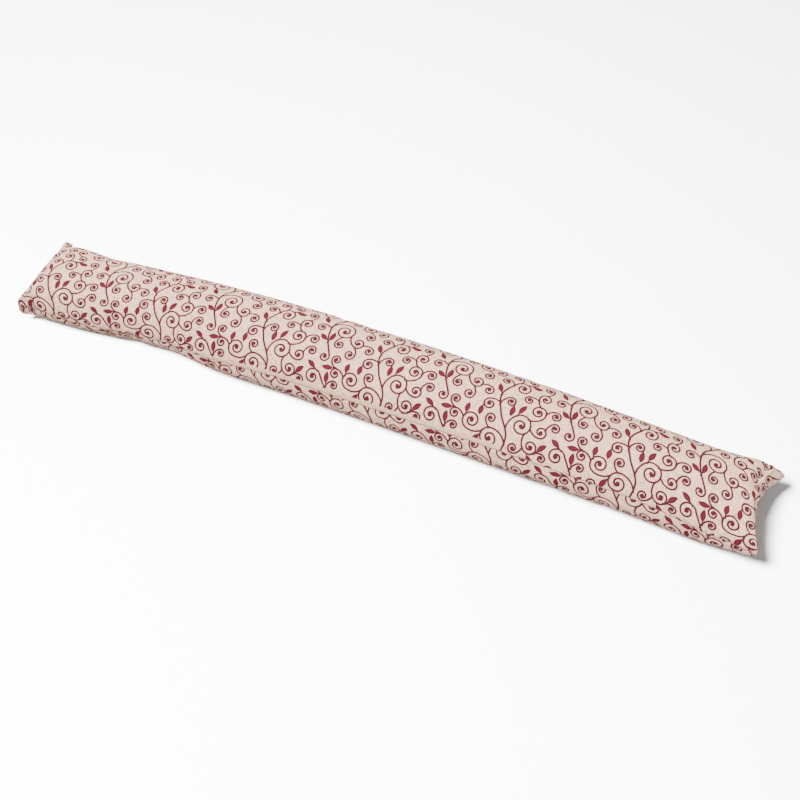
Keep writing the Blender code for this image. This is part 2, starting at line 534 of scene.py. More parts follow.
        ends = [np.broadcast_to(vector, full) for vector in (start, out, end, into)]

        arms = self.hermite(ends, np.linspace(0, 1, self.arm_samples))
        steps = np.diff(arms, axis=-2)
        lengths = np.linalg.norm(steps, axis=-1)
        heading = np.arctan2(steps[..., 1], steps[..., 0])
        bend = (np.diff(heading, axis=-1) + math.pi) % (2 * math.pi) - math.pi
        between = 0.5 * (lengths[..., 1:] + lengths[..., :-1]) + 1e-6
        curvature = bend / between
        none = np.zeros(lengths.shape[:-1] + (1,))
        run = np.concatenate((none, np.cumsum(lengths, axis=-1)), axis=-1)
        needed = np.minimum((run - self.free_run) * self.free_slope, self.clearance)
        tight = (self.room_at(arms) - needed).min(axis=-1)
        inside = (np.linalg.norm(arms[..., :-1, :] - centre, axis=-1) - radius).min(axis=-1)
        total = run[..., -1]
        share = np.linspace(0, 1, curvature.shape[-1])
        sweep = self.sweep + (1 / radius - self.sweep) * share**2
        off = curvature - hand[..., None] * sweep
        cost = self.off_cost * (off**2 * between).sum(axis=-1) + self.length_cost * total
        sharpest = np.abs(curvature).max(axis=-1)
        cost += self.bend_cost * np.clip(sharpest - self.bend_limit, 0, None)
        cost += self.wiggle_cost * np.abs(np.diff(curvature, axis=-1)).sum(axis=-1)
        shortest, longest = self.arm_length
        crosses = (tight < 0) | (inside < -self.overlap)
        ruled_out = crosses | (total > longest) | (total < shortest)
        cost = np.where(ruled_out, np.inf, cost)
        best = np.unravel_index(cost.argmin(), cost.shape)
        if not np.isfinite(cost[best]):
            return None
        count = max(8, int(total[best] / self.step))
        arm = self.hermite([vector[best] for vector in ends], np.linspace(0, 1, count))
        return cost[best], arm, meet[best[2]], (1.0, -1.0)[best[3]]

    @staticmethod
    def hermite(ends: list, t: np.ndarray) -> np.ndarray:
        """Points at t on cubic Hermite curves, given start, out, end and into vectors."""
        t = t[:, None]
        start, out, end, into = (vector[..., None, :] for vector in ends)
        first = (2 * t**3 - 3 * t**2 + 1) * start + (t**3 - 2 * t**2 + t) * out
        return first + (-2 * t**3 + 3 * t**2) * end + (t**3 - t**2) * into

    def add_scroll(self, wanted: float) -> bool:
        """Grow one scroll into the widest bare place.

        Args:
            wanted: the ring's radius, if there is room.

        Returns:
            False where no room is left.
        """
        widest = self.room.max()
        radius = min(wanted, widest - self.gap)
        if radius < self.smallest:
            return False
        away = np.linalg.norm(self.wrapped(self.spots - self.spots[self.room.argmax()]), axis=1)
        roomy = self.room >= radius + self.gap - 0.01
        fits = np.flatnonzero(roomy & (away <= widest - radius + self.drift))
        snug = self.room[fits] < radius + self.gap + self.snugness
        fits = fits[snug] if snug.any() else fits
        tries = self.random.permutation(fits)[: self.scroll_tries]
        arms = [(spot, self.arm_to(self.spots[spot], radius)) for spot in tries]
        arms = [(spot, arm) for spot, arm in arms if arm is not None]
        if not arms:
            self.room[tries] = np.minimum(self.room[tries], self.gap)
            return True
        spot, (_, arm, first, hand) = min(arms, key=lambda pair: pair[1][0])
        place, half = self.scroll(self.spots[spot], radius, hand, first, self.turns_of(radius))
        # It starts inside the vine's own line, and it ends where the scroll starts
        arm = arm[3:-1]
        line = np.full(len(arm), self.line)
        last = len(arm) + int(self.spring_share * len(place))
        self.add(np.vstack((arm, place)), np.concatenate((line, half)), 0, last)
        self.grown += 1
        return True

    def add_leaves(self, count: int, spare: float) -> None:
        """Let leaves sprout where there is room, each on a short stalk that bends forward.

        A leaf's half width is leaf_half * 4 bud (1 - bud), with bud from 0 at the stalk to 1
        at the tip. The tries are all measured with few samples, and the one with the room
        nearest to what is wanted is printed finely.

        Args:
            count: how many leaves to add.
            spare: the room wanted round a leaf, in millimetres.
        """
        tries = self.leaf_tries
        springs, headings = self.springs()
        for _ in range(count):
            pick = self.random.choice(len(springs), tries)
            lean = np.where(self.random.random(tries) < 0.5, 1, -1)
            lean = lean * np.radians(self.random.uniform(*self.leaf_leans, tries))
            length = self.random.uniform(*self.leaf_length, tries)
            leaving = np.arctan2(headings[pick, 1], headings[pick, 0]) + lean
            place, half = self.leaf(springs[pick], leaving, lean, length, 12)
            room = self.room_at(place) - half
            score = room[:, 4:].min(axis=1) - 2 * (room[:, 3] < 0)
            score = np.where(score > spare, 5 - np.abs(score - spare), score)
            best = score.argmax()
            if score[best] < 0.8 * spare:
                break
            some = slice(best, best + 1)
            steps = int((length[best] + self.stalk) / self.step)
            chosen = (springs[pick][some], leaving[some], lean[some], length[some])
            place, half = self.leaf(*chosen, steps)
            self.add(place[0], half[0], 0, 0)

    def leaf(
        self, start: np.ndarray, leaving: np.ndarray, lean: np.ndarray, length: np.ndarray, count: int
    ) -> tuple:
        """Points and half widths of leaves, as arrays of leaves by count."""
        s = np.linspace(0, 1, count)
        whole = (length + self.stalk)[:, None]
        angle = leaving[:, None] - 0.5 * lean[:, None] * s
        steps = np.stack((np.cos(angle), np.sin(angle)), axis=-1) * (whole / (count - 1))[..., None]
        place = start[:, None] + np.cumsum(steps, axis=1)
        bud = np.clip((s * whole - self.stalk) / length[:, None], 0, 1)
        half = self.leaf_half * 4 * bud * (1 - bud)
        return place, np.maximum(half, np.where(s < 0.5, self.stalk_half, 0.0))

    def grow(self) -> "ScrollVine":
        """Grow the whole repeat."""
        self.grown = 0
        for points, scrolls in zip(self.stem_points, self.stem_scrolls):
            self.add_stem(points, *scrolls)
        sprouted = False
        for _ in range(3 * self.scroll_count):
            if self.grown == self.early_scrolls and not sprouted:
                self.add_leaves(*self.early_leaves)
                sprouted = True
            large = self.grown < len(self.sizes)
            wanted = self.sizes[self.grown] if large else self.small_size
            if self.grown >= self.scroll_count or not self.add_scroll(wanted):
                break
        self.add_leaves(*self.late_leaves)
        log.info("the repeat has %d strokes and %d eyes", len(self.strokes), len(self.dots))
        return self


@dataclass
class PrintChart:
    """Finds, for any place on the cloth, the few bits of the print that pass by it.

    A bit is a stroke near one sample: a piece of its osculating ring, whose half width changes
    along its heading. An eye is a ring of radius 0.
    """

    vine: ScrollVine
    kept: int = 4
    cell: float = 0.5
    reach: float = 4.0
    margin: float = 1.7
    apart: float = 2.4
    straight: float = 300.0
    tight_bend: float = 0.25
    most_inward: float = 0.4

    def samples(self) -> dict:
        """Every sample of the strokes and eyes, as arrays.

        On a tight bend the half width falls off inwards, so that the ring's far side, which
        the stroke doesn't follow, draws nothing.
        """
        parts = []
        for number, stroke in enumerate(self.vine.strokes):
            step = np.gradient(stroke.place, axis=0)
            pace = np.linalg.norm(step, axis=1)
            heading = step / pace[:, None]
            turned = np.unwrap(np.arctan2(heading[:, 1], heading[:, 0]))
            bend = np.gradient(turned) / pace
            bend = np.where(bend < 0, -1.0, 1.0) * np.maximum(np.abs(bend), 1 / self.straight)
            normal = np.stack((-heading[:, 1], heading[:, 0]), axis=-1)
            widen = np.gradient(stroke.half) / pace
            falling = np.clip(stroke.half * np.abs(bend) / 2, 0, self.most_inward)
            tight = np.where(np.abs(bend) > self.tight_bend, falling, 0)
            inward = normal * (np.sign(bend) * tight)[:, None]
            count = len(pace)
            parts.append({
                "place": stroke.place, "hub": normal / bend[:, None], "ring": np.abs(1 / bend),
                "half": stroke.half, "widest": np.full(count, stroke.half.max()),
                "widen": heading * widen[:, None] - inward,
                "apart": np.full(count, self.apart if stroke.last else MM),
                "stroke": np.full(count, number), "run": np.cumsum(pace),
            })
        dots = np.array(self.vine.dots)
        none, still = np.zeros(len(dots)), np.zeros((len(dots), 2))
        parts.append({
            "place": dots[:, :2], "hub": still, "ring": none, "half": dots[:, 2],
            "widest": dots[:, 2], "widen": still, "apart": none,
            "stroke": len(self.vine.strokes) + np.arange(len(dots)), "run": none,
        })
        return {name: np.concatenate([part[name] for part in parts]) for name in parts[0]}

    def look_up(self, at: np.ndarray) -> tuple:
        """The bits that pass by places on the cloth.

        Each sample is entered in the tile's cells around it with its rank, the distance to
        the cell's middle less its stroke's widest half width. A cell keeps the best entry,
        drops that stroke's entries close by along it, keeps the next, and so on.

        Args:
            at: places on the cloth, in millimetres, as an array of places by 2.

        Returns:
            Rings as places by kept by 3, of hub x, hub y and radius, and inks as places by
            kept by 3, of the half width's change along x and y and its value at the origin.
        """
        bits = self.samples()
        tile = np.array(self.vine.tile)
        counts = np.round(tile / self.cell).astype(int)
        span = np.arange(-int(self.reach / self.cell), int(self.reach / self.cell) + 1)
        around = np.stack(np.meshgrid(span, span, indexing="ij"), axis=-1).reshape(-1, 2)
        home = np.floor(bits["place"] / self.cell).astype(int)
        cells = home[:, None] + around[None]
        away = (cells + 0.5) * self.cell - bits["place"][:, None]
        distance = np.hypot(away[..., 0], away[..., 1])
        close = distance - bits["half"][:, None] < self.margin
        sample = np.broadcast_to(np.arange(len(home))[:, None], distance.shape)[close]
        wrapped = cells[close] % counts
        cell = wrapped[:, 0] * counts[1] + wrapped[:, 1]
        away, rank = away[close], distance[close] - bits["widest"][sample]
        order = np.lexsort((rank, cell))
        sample, cell, away = sample[order], cell[order], away[order]
        stroke, run, apart = bits["stroke"][sample], bits["run"][sample], bits["apart"][sample]

        found = np.full((counts[0] * counts[1], self.kept), -1)
        open_entries = np.ones(len(cell), bool)
        for turn in range(self.kept):
            index = np.flatnonzero(open_entries)
            cells_left, first = np.unique(cell[index], return_index=True)
            best = np.full(len(found), -1)
            best[cells_left] = index[first]
            found[:, turn] = best
            mine = best[cell]
            same = (mine >= 0) & (stroke == stroke[mine]) & (np.abs(run - run[mine]) <= apart)
            open_entries &= ~same

        corner = np.floor(at / self.cell).astype(int)
        inside = corner % counts
        entry = found[inside[:, 0] * counts[1] + inside[:, 1]]
        empty = entry < 0
        picked = sample[entry]
        place = ((corner + 0.5) * self.cell)[:, None] - away[entry]
        hub = place + bits["hub"][picked]
        rings = np.concatenate((hub, bits["ring"][picked][..., None]), axis=-1)
        widen = bits["widen"][picked]
        level = bits["half"][picked] - (widen * place).sum(axis=-1)
        inks = np.concatenate((widen, level[..., None]), axis=-1)
        rings[empty] = 0.0
        inks[empty] = (0.0, 0.0, -self.straight)
        return rings, inks


class Channel:
    """One socket's value in a shader, on which Python's operators add Math nodes."""

    def __init__(self, shader: "Shader", socket: bpy.types.NodeSocket) -> None:
        """Keep the shader it belongs to and the socket it reads."""
        self.shader = shader
        self.socket = socket

    def math(self, operation: str, *others: "Channel | float", clamp: bool = False) -> "Channel":
        """Add a Math node that works on this value and the others."""
        inputs = {0: self, **{place + 1: other for place, other in enumerate(others)}}
        settings = {"operation": operation, "use_clamp": clamp}
        return self.shader.node("ShaderNodeMath", settings, inputs)

    def __add__(self, other: "Channel | float") -> "Channel":
        """This value plus the other."""
        return self.math("ADD", other)

    __radd__ = __add__

    def __sub__(self, other: "Channel | float") -> "Channel":
        """This value less the other."""
        return self.math("SUBTRACT", other)

    def __rsub__(self, other: float) -> "Channel":
        """The number less this value."""
        return self.shader.node("ShaderNodeMath", {"operation": "SUBTRACT"}, {0: other, 1: self})

    def __mul__(self, other: "Channel | float") -> "Channel":
        """This value times the other."""
        return self.math("MULTIPLY", other)

    __rmul__ = __mul__

    def __truediv__(self, other: "Channel | float") -> "Channel":
        """This value over the other."""
        return self.math("DIVIDE", other)

    def __abs__(self) -> "Channel":
        """This value without its sign."""
        return self.math("ABSOLUTE")

    def sine(self) -> "Channel":
        """The sine of this value, in radians."""
        return self.math("SINE")

    def above(self, other: "Channel | float") -> "Channel":
        """The larger of this value and the other."""
        return self.math("MAXIMUM", other)

    def share(self) -> "Channel":
        """This value kept between 0 and 1."""
        return self.math("ADD", 0.0, clamp=True)


class Shader:
    """A material's node tree, with one method that adds any node."""

    def __init__(self, name: str) -> None:
        """Start a material with a Principled BSDF wired to its output."""
        self.material = bpy.data.materials.new(name)
        self.material.use_nodes = True
        self.tree = self.material.node_tree
        self.principled = self.tree.nodes["Principled BSDF"]

    def node(self, kind: str, settings: dict, inputs: dict, output: int | str = 0) -> Channel:
        """Add a node.

        Args:
            kind: the node's type.
            settings: its own properties, set before its sockets.
            inputs: values or channels by socket name or number.
            output: the output to read.

        Returns:
            The channel of that output.
        """
        made = self.tree.nodes.new(kind)
        for key, value in settings.items():
            setattr(made, key, value)
        for key, value in inputs.items():
            self.wire(value, made.inputs[key])
        return Channel(self, made.outputs[output])

    def wire(self, value: "Channel | float | tuple", socket: bpy.types.NodeSocket) -> None:
        """Link a channel to a socket, or set the socket's own value."""
        if isinstance(value, Channel):
            self.tree.links.new(value.socket, socket)
        else:
            socket.default_value = value

    def finish(self, **inputs: "Channel | float | tuple") -> bpy.types.Material:
        """Set the Principled BSDF's sockets, whose names are written with underscores."""
        for key, value in inputs.items():
            name = key.replace("_", " ").title().replace("Ior", "IOR")
            self.wire(value, self.principled.inputs[name])
        return self.material

    def mix(self, share: "Channel | float", start: "Channel | tuple", end: "Channel | tuple") -> Channel:
        """Mix two colours."""
        settings = {"data_type": "RGBA", "blend_type": "MIX"}
        return self.node("ShaderNodeMix", settings, {0: share, 6: start, 7: end}, output=2)

    def noise(self, at: Channel, scale: float, detail: float = 2.0, rough: float = 0.5) -> Channel:
        """Plain noise about a half, at a scale in repeats for each unit of the vector."""
        inputs = {"Vector": at, "Scale": scale, "Detail": detail, "Roughness": rough}
        return self.node("ShaderNodeTexNoise", {"noise_dimensions": "3D"}, inputs)


@dataclass(frozen=True)
class LinenFinish:
    """Natural linen with a crimson scroll print."""

    name: str = "printed_linen_cloth"
    map_name: str = "cloth"
    bits: int = 4
    ground: tuple = (0.83, 0.585, 0.44, 1.0)
    ground_dark: tuple = (0.27, 0.185, 0.14, 1.0)
    stained: tuple = (0.52, 0.24, 0.22, 1.0)
    stain_width: float = 1.3
    selvedge: tuple = (0.50, 0.36, 0.235, 1.0)
    # Painted shade: a near-black brown laid along the seam's crease, standing in for the shadow in the
    # groove.
    seam_shade: tuple = (0.10, 0.06, 0.045, 1.0)
    crease_width: float = 1.4
    ink: tuple = (0.040, 0.0120, 0.0170, 1.0)
    ink_pale: tuple = (0.104, 0.0120, 0.0220, 1.0)
    edge: float = 0.20
    line_depth: float = 0.9
    yarn: float = 0.55
    girth: float = MM * GIRTH
    slub_stretch: tuple = (0.12, 1.9)
    slub_gain: float = 2.4
    fleck_scale: float = 0.32
    rag_scale: float = 0.9
    rag_depth: float = 0.22
    selvedge_rag: float = 1.6
    selvedge_width: float = 5.6
    selvedge_span: tuple = (-190.0, 172.0)
    selvedge_fade: float = 12.0
    middle_tone: float = 0.55
    slub_tone: float = 0.7
    fleck_tone: float = 0.9
    weave_tone: float = 0.14
    stain_share: float = 0.4
    selvedge_share: float = 0.85
    # How strongly the painted shade darkens the seam's crease.
    seam_shade_share: float = 0.75
    weave_relief: float = 0.5
    slub_relief: float = 0.6
    crease_relief: float = 6.0
    bump_strength: float = 0.35
    bump_distance: float = 0.00012
    roughness: float = 0.9
    shine: float = 0.02

    def printed(self, shader: Shader, at: Channel) -> Channel:
        """How much ink lies at a place: the most of what its few bits of print lay there.

        A bit lays ink where its half width is more than the distance to its ring.
        """
        flat = self.vector(shader, "MULTIPLY", at, (1.0, 1.0, 0.0))
        raised = self.vector(shader, "ADD", flat, (0.0, 0.0, 1.0))
        laid: Channel | None = None
        for number in range(self.bits):
            ring = self.attribute(shader, f"ring_{number}")
            ink = self.attribute(shader, f"ink_{number}")
            radius = shader.node("ShaderNodeSeparateXYZ", {}, {0: ring}, output="Z")
            hub = self.vector(shader, "MULTIPLY", ring, (1.0, 1.0, 0.0))
            settings = {"operation": "DISTANCE"}
            distance = shader.node("ShaderNodeVectorMath", settings, {0: flat, 1: hub}, output="Value")
            settings = {"operation": "DOT_PRODUCT"}
            half = shader.node("ShaderNodeVectorMath", settings, {0: raised, 1: ink}, output="Value")
            depth = half - abs(distance - radius)
            laid = depth if laid is None else laid.above(depth)
        return laid

    @staticmethod
    def vector(shader: Shader, operation: str, first: Channel, second: "Channel | tuple") -> Channel:
        """Add a Vector Math node."""
        return shader.node("ShaderNodeVectorMath", {"operation": operation}, {0: first, 1: second})

    @staticmethod
    def attribute(shader: Shader, name: str) -> Channel:
        """Read a vector that the mesh holds for each face."""
        settings = {"attribute_type": "GEOMETRY", "attribute_name": name}
        return shader.node("ShaderNodeAttribute", settings, {}, output="Vector")

    def material(self) -> bpy.types.Material:
        """Build the material.

        Slubs run long along each yarn, flecks are coarse, and the weave is the product of two
        sines, one for each yarn. The ink's edge follows the yarns raggedly. Linen shows bare
        along the seam's upper side. Where the two edges meet, the crease is pressed in by the bump
        and darkened with painted shade, which stands in for the shadow in the groove.
        """
        shader = Shader(self.name)
        at = shader.node("ShaderNodeUVMap", {"uv_map": self.map_name}, {}, output="UV")
        along = shader.node("ShaderNodeSeparateXYZ", {}, {0: at}, output="X")
        round_ = shader.node("ShaderNodeSeparateXYZ", {}, {0: at}, output="Y")

        slow, fast = self.slub_stretch
        warp = shader.noise(self.vector(shader, "MULTIPLY", at, (slow, fast, 1.0)), 1.0)
        weft = shader.noise(self.vector(shader, "MULTIPLY", at, (fast, slow, 1.0)), 1.0)
        pitch = 2 * math.pi / self.yarn
        crossing = (along * pitch).sine() * (round_ * pitch).sine()
        slub = (warp + weft - 1.0) * self.slub_gain
        fleck = (shader.noise(at, self.fleck_scale, 4.0, 0.7) - 0.5) * 2.0
        rag = shader.noise(at, self.rag_scale) - 0.5

        depth = self.printed(shader, at) + rag * self.rag_depth
        from_seam = (self.selvedge_width - round_ + rag * self.selvedge_rag).share()
        first, last = (self.selvedge_span[0] - along, self.selvedge_span[1] - along)
        span = (first / -self.selvedge_fade).share() * (last / self.selvedge_fade).share()
        bare = from_seam * span
        off_seam = self.girth / 2 - abs(round_ - self.girth / 2)
        # The crease marks the seam's groove, which the bump presses in and the painted shade darkens.
        crease = (1.0 - off_seam / self.crease_width).share()
        ink = (depth / self.edge + 0.5).share() * (1 - bare)

        tone = slub * self.slub_tone + fleck * self.fleck_tone + crossing * self.weave_tone
        tone = (tone + self.middle_tone).share()
        cloth = shader.mix(tone, self.ground_dark, self.ground)
        stain = (depth / self.stain_width + 1.0).share() * self.stain_share
        cloth = shader.mix(stain * (1 - bare), cloth, self.stained)
        cloth = shader.mix(bare * self.selvedge_share, cloth, self.selvedge)
        broad = ((depth - self.line_depth) * 0.7).share() * 0.75 + tone * 0.25
        inked = shader.mix(broad, self.ink, self.ink_pale)
        colour = shader.mix(ink, cloth, inked)
        # Painted shade: the seam's crease is darkened towards a near-black brown, standing in for the
        # shadow that falls in the groove.
        colour = shader.mix(crease * self.seam_shade_share, colour, self.seam_shade)

        relief = crossing * self.weave_relief + slub * self.slub_relief
        relief = relief - crease * self.crease_relief
        strength, distance = self.bump_strength, self.bump_distance
        inputs = {"Height": relief, "Strength": strength, "Distance": distance}
        bump = shader.node("ShaderNodeBump", {}, inputs, output="Normal")
        return shader.finish(
            base_color=colour, roughness=self.roughness, specular_ior_level=self.shine, normal=bump
        )


@dataclass
class ClothSettle:
    """Blender's cloth simulation, by which the filling presses the sewn linen out."""

    rows: int = 270
    columns: int = 92
    frames: int = 20
    pressure: float = 4.0
    quality: int = 6
    stretch: float = 20.0
    shear: float = 6.0
    bending: float = 0.15
    hem: float = 0.0036
    smoothing: float = 9.0
    passes: int = 40
    broad_cap: float = 0.0025
    fine_cap: float = 0.0035

    def flat_pattern(self, length: float, girth: float) -> np.ndarray:
        """The cover as it is cut and sewn: two flat layers, joined along both sides."""
        u = np.linspace(-length / 2, length / 2, self.rows + 1)[:, None]
        share = (np.arange(self.columns) / self.columns)[None, :]
        y = girth * (0.25 - np.abs(share - 0.5)) + 0 * u
        layer = np.where(share < 0.5, 0.5, -0.5) * np.where((share == 0) | (share == 0.5), 0.0, 1.0)
        return np.stack((u + 0 * share, y, self.hem * layer + 0 * u), axis=-1)

    def run(self, start: np.ndarray, length: float, girth: float) -> np.ndarray:
        """Simulate the cover from its lying form, with the flat pattern's lengths as its rest.

        Args:
            start: the lying form on the cloth's grid.
            length: the sewn cover's flat length.
            girth: the length round it.

        Returns:
            How far each point moved, as an array like start.
        """
        scene = bpy.context.scene
        mesh = mesh_of("settling", start, tube_faces(self.rows, self.columns))
        piece = bpy.data.objects.new("settling", mesh)
        scene.collection.objects.link(piece)
        piece.shape_key_add(name="lying")
        flat = piece.shape_key_add(name="flat")
        pattern = self.flat_pattern(length, girth)
        flat.data.foreach_set("co", pattern.astype(np.float32).ravel())
        cloth = piece.modifiers.new("cloth", "CLOTH")
        rules = cloth.settings
        rules.rest_shape_key = flat
        rules.quality = self.quality
        rules.mass = 0.15
        rules.tension_stiffness = rules.compression_stiffness = self.stretch
        rules.shear_stiffness = self.shear
        rules.bending_stiffness = self.bending
        rules.use_pressure = True
        rules.uniform_pressure_force = self.pressure
        rules.effector_weights.gravity = 0.0
        cloth.collision_settings.use_collision = False
        cloth.collision_settings.use_self_collision = False
        cloth.point_cache.frame_start, cloth.point_cache.frame_end = 1, self.frames
        for number in range(1, self.frames + 1):
            scene.frame_set(number)
        moved = np.empty(start.size, np.float32)
        settled = piece.evaluated_get(bpy.context.evaluated_depsgraph_get())
        settled.data.vertices.foreach_get("co", moved)
        bpy.data.objects.remove(piece, do_unlink=True)
        bpy.data.meshes.remove(mesh)
        scene.frame_set(1)
        return moved.reshape(start.shape).astype(float) - start

    def smoothed(self, values: np.ndarray) -> np.ndarray:
        """Average each point with its neighbours over and over, round the girth and along."""
        for _ in range(self.passes):
            round_ = (np.roll(values, 1, axis=1) + np.roll(values, -1, axis=1)) / 4 + values / 2
            padded = np.concatenate((round_[:1], round_, round_[-1:]))
            values = (padded[:-2] + padded[2:]) / 4 + round_ / 2
        return values

    @staticmethod
    def capped(move: np.ndarray, cap: float) -> np.ndarray:
        """Keep the move's direction and ease its length to at most the cap."""
        size = np.linalg.norm(move, axis=-1, keepdims=True)
        return move * cap * np.tanh(size / cap) / np.maximum(size, 1e-9)

    def puckers(self, start: np.ndarray, length: float, girth: float) -> np.ndarray:
        """The move to add: fine puckers nearly whole, and the broad change only a little."""
        move = self.run(start, length, girth)
        broad = self.smoothed(move)
        most, broadest = (MM * np.abs(part).max() for part in (move, broad))
        log.info("the cloth moved %.1f mm at most, broadly %.1f mm", most, broadest)
        return self.capped(broad, self.broad_cap) + self.capped(move - broad, self.fine_cap)


@dataclass(frozen=True)
class CornerFit:
    """How one corner lies: its reach, droop and swelling, in millimetres."""

    reach: float
    droop: float
    puff: float


@dataclass(frozen=True)
class EndFit:
    """How one sewn end lies, from its front corner over the middle to the back one."""

    front: CornerFit
    back: CornerFit
    middle_reach: float


@dataclass(frozen=True)
class Dimple:
    """A swelling, or a crease where its height is negative, in millimetres.

    Its place is a distance from the end and one round from the long seam, up over the top.
    """

    end: End
    from_end: float
    end_width: float
    round_: float
    round_width: float
    height: float


@dataclass
class SewnDetail:
    """What sewing does to the cloth: rounded corners, small pleats there, and puckers."""

    ends: tuple = (
        (End.LEFT, EndFit(CornerFit(12.5, 12.5, 8.5), CornerFit(7.5, 0.0, 4.5), 5.5)),
        (End.RIGHT, EndFit(CornerFit(2.5, 0.0, 3.6), CornerFit(7.5, 11.5, -1.5), 1.5)),
    )
    reach_fade: float = 42.0
    droop_fade: float = 32.0
    corner_radius: float = 7.0
    corner_fade: float = 13.0
    puff_at: float = 8.0
    dimples: tuple = (
        Dimple(End.LEFT, 26.0, 30.0, 272.0, 26.0, 5.0),
        Dimple(End.LEFT, 150.0, 12.0, 288.0, 24.0, -2.0),
        Dimple(End.LEFT, 11.0, 3.5, 14.0, 11.0, -1.6),
        Dimple(End.LEFT, 16.0, 4.0, 140.0, 16.0, -1.2),
        Dimple(End.RIGHT, 22.0, 14.0, 142.0, 24.0, 8.0),
        Dimple(End.RIGHT, 22.0, 3.4, 112.0, 24.0, -5.0),
        Dimple(End.RIGHT, 13.0, 2.8, 124.0, 18.0, -3.5),
        Dimple(End.RIGHT, 31.0, 4.0, 30.0, 18.0, -2.4),
        Dimple(End.RIGHT, 62.0, 9.0, 34.0, 9.0, -1.6),
        Dimple(End.RIGHT, 16.0, 4.0, 18.0, 12.0, -1.4),
        Dimple(End.LEFT, 370.0, 190.0, 127.0, 42.0, 3.0),
        Dimple(End.RIGHT, 400.0, 190.0, 127.0, 42.0, 3.0),
    )
    scallop: float = 0.9
    scallop_pitch: float = 17.0
    scallop_fade: float = 9.0
    pleats: float = 10.0
    pleat_phase: float = 0.8
    pleat_depth: float = 0.8
    pleat_at: float = 12.0
    pleat_start: float = 3.0
    pucker_pitch: float = 11.0
    pucker_depth: float = 0.65
    pucker_reach: float = 8.0
    pucker_drift: tuple = ((5.0, 31.0), (3.0, 13.0))
    pucker_end: float = 12.0

    def shape(self, points: np.ndarray, from_end: np.ndarray, round_: np.ndarray) -> np.ndarray:
        """Move the points of the cloth's grid.

        With d the distance from the end and e the distance round from the nearest corner, the
        ends first reach out and droop a little, as the filling has pushed them, and the
        corners swell as the product of x exp(1 - x) for d and for e. Scallops run along the
        end seams as cos(2 pi e / pitch). A corner is rounded by
        R - sqrt(R*R - (R - e)**2), which fades over d. Pleats spread from the corner as
        cos(pleats * atan2(e, d)) and fade with the distance from it, dimples are humps both
        ways, and puckers along the long seam run as cos(2 pi u / pitch) exp(-v / reach), with
        a slow change of pitch.

        Args:
            points: the grid, in metres.
            from_end: distance from the nearest end along the cloth, for each row, in mm.
            round_: distance round from the long seam, for each column, in mm.

        Returns:
            The moved grid.
        """
        d = from_end[:, None]
        girth = round_[1] + round_[-1]
        from_seam = np.minimum(round_, girth - round_)[None, :]
        to_back = from_seam / (girth / 2)
        e = np.minimum(from_seam, girth / 2 - from_seam)
        side = np.sign(points[..., 0])
        upper = np.where(round_ < girth / 2, 1.0, -1.0)[None, :]
        middle = np.sin(math.pi * e / (girth / 2))
        bulge = d * e / self.puff_at**2 * np.exp(2 - (d + e) / self.puff_at)

        outward, down, puff = (np.zeros(points.shape[:2]) for _ in range(3))
        for end, fit in self.ends:
            here = side == end.value
            reach = fit.front.reach + (fit.back.reach - fit.front.reach) * to_back
            reach = reach + (fit.middle_reach - reach) * middle
            droop = fit.front.droop + (fit.back.droop - fit.front.droop) * to_back
            wave = np.cos(2 * math.pi * from_seam / self.scallop_pitch + end.value)
            outward += here * self.scallop * wave * hump(d, self.scallop_fade)
            outward += here * reach * hump(d, self.reach_fade)
            down += here * droop * (1 - middle) * hump(d, self.droop_fade)
            puff += here * (fit.front.puff + (fit.back.puff - fit.front.puff) * to_back) * bulge

        radius = self.corner_radius
        away = radius - np.minimum(e, radius)
        inward = (radius - np.sqrt(radius**2 - away**2)) * hump(d, self.corner_fade)
        far = np.hypot(d, e) / self.pleat_at
        pleat = np.cos(self.pleats * np.arctan2(e, d + 1e-6) + self.pleat_phase * side)
        pleat = pleat * far * np.exp(1 - far)
        pleat = pleat * (1 - np.exp(-d / self.pleat_start)) * (1 - np.exp(-e / self.pleat_start))
        u = points[..., 0] * MM
        drift = sum(size * np.sin(u / slow) for size, slow in self.pucker_drift)
        wave = np.cos(2 * math.pi * (u + drift) / self.pucker_pitch)
        pucker = wave * np.exp(-from_seam / self.pucker_reach) * (1 - hump(d, self.pucker_end))
        out = self.pleat_depth * pleat + self.pucker_depth * pucker
        for dimple in self.dimples:
            here = (side == dimple.end.value) * hump(d - dimple.from_end, dimple.end_width)
            out += dimple.height * here * hump(round_[None, :] - dimple.round_, dimple.round_width)

        across = np.roll(points, -1, axis=1) - np.roll(points, 1, axis=1)
        normal = np.cross(np.gradient(points, axis=0), across)
        normal /= np.maximum(np.linalg.norm(normal, axis=-1, keepdims=True), 1e-12)
        moved = points + normal * out[..., None] / MM
        moved[..., 0] += side * (outward - inward) / MM
        moved[..., 2] += (upper * puff - down) / MM
        return moved


def finer(values: np.ndarray) -> np.ndarray:
    """Halve a grid's steps, with cubic middles: (9 (b + c) - (a + d)) / 16."""
    ahead, behind = np.roll(values, -1, axis=1), np.roll(values, 1, axis=1)
    middle = (9 * (values + ahead) - (behind + np.roll(values, -2, axis=1))) / 16
    wide = np.stack((values, middle), axis=2).reshape(len(values), -1, values.shape[-1])
    ends = np.concatenate((2 * wide[:1] - wide[1:2], wide, 2 * wide[-1:] - wide[-2:-1]))
    between = (9 * (ends[1:-2] + ends[2:-1]) - (ends[:-3] + ends[3:])) / 16
    fine = np.empty((2 * len(wide) - 1, *wide.shape[1:]))
    fine[::2], fine[1::2] = wide, between
    return fine


